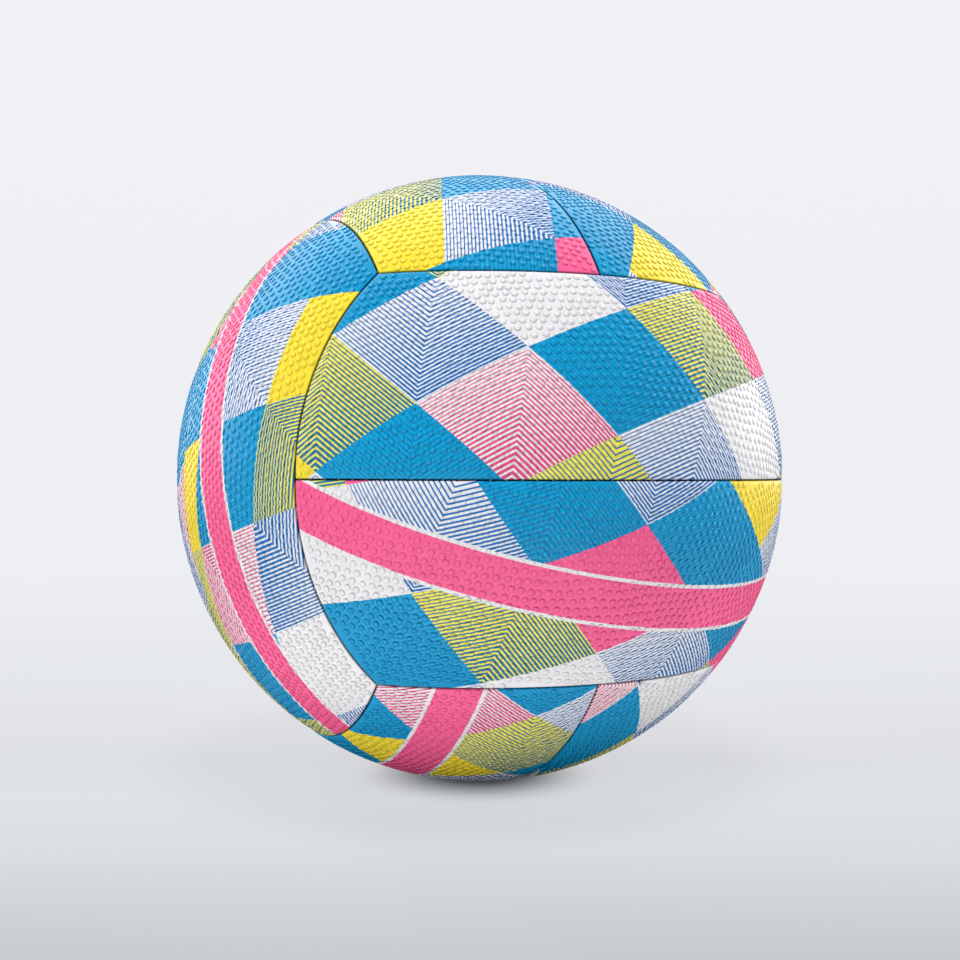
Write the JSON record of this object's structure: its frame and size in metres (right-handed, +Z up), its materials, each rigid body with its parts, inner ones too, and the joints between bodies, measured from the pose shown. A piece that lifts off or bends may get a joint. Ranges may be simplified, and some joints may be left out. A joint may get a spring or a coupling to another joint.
{
  "type": "netball",
  "caption": "Round inflated netball with a pimpled rubber cover sewn from curved panels over fabric linings and a bladder, with an inflating valve.",
  "frame": {"origin": "centre of the ball", "axes": "+Z up, away from the flat where the ball stands; -Y out through the middle of the front face; the valve is in the upper back panel"},
  "size_m": [0.2228, 0.2228, 0.2227],
  "materials": {
    "cover_blue": "matt pimpled rubber with a printed colour",
    "cover_pink": "matt pimpled rubber with a printed colour",
    "cover_lime": "matt pimpled rubber with a printed colour",
    "cover_white": "matt pimpled rubber with a printed colour",
    "cover_yellow": "matt pimpled rubber with a printed colour",
    "cover_light_blue": "matt pimpled rubber with a printed colour",
    "lining_fabric": "woven cotton and polyester",
    "thread": "waxed polyester thread",
    "bladder_rubber": "smooth butyl rubber",
    "valve_rubber": "moulded rubber, satin"
  },
  "bodies": {
    "root": {"panel_front_upper": "cover_blue", "panel_front_lower": "cover_pink", "panel_back_upper": "cover_lime", "panel_back_lower": "cover_white", "panel_bottom_right": "cover_pink", "panel_bottom_left": "cover_blue", "panel_top_right": "cover_yellow", "panel_top_left": "cover_light_blue", "panel_left_back": "cover_white", "panel_left_front": "cover_blue", "panel_right_back": "cover_blue", "panel_right_front": "cover_pink", "lining_front_upper": "lining_fabric", "lining_front_lower": "lining_fabric", "lining_back_upper": "lining_fabric", "lining_back_lower": "lining_fabric", "lining_bottom_right": "lining_fabric", "lining_bottom_left": "lining_fabric", "lining_top_right": "lining_fabric", "lining_top_left": "lining_fabric", "lining_left_back": "lining_fabric", "lining_left_front": "lining_fabric", "lining_right_back": "lining_fabric", "lining_right_front": "lining_fabric", "thread_middle_front": "thread", "thread_middle_back": "thread", "thread_middle_bottom": "thread", "thread_middle_top": "thread", "thread_middle_left": "thread", "thread_middle_right": "thread", "thread_edge_front_left": "thread", "thread_edge_front_right": "thread", "thread_edge_back_right": "thread", "thread_edge_back_left": "thread", "thread_edge_bottom_front": "thread", "thread_edge_bottom_back": "thread", "thread_edge_top_back": "thread", "thread_edge_top_front": "thread", "thread_edge_left_bottom": "thread", "thread_edge_left_top": "thread", "thread_edge_right_top": "thread", "thread_edge_right_bottom": "thread", "bladder": "bladder_rubber", "valve_patch": "bladder_rubber", "valve_housing": "valve_rubber", "valve_core": "valve_rubber"}
  },
  "joints": []
}
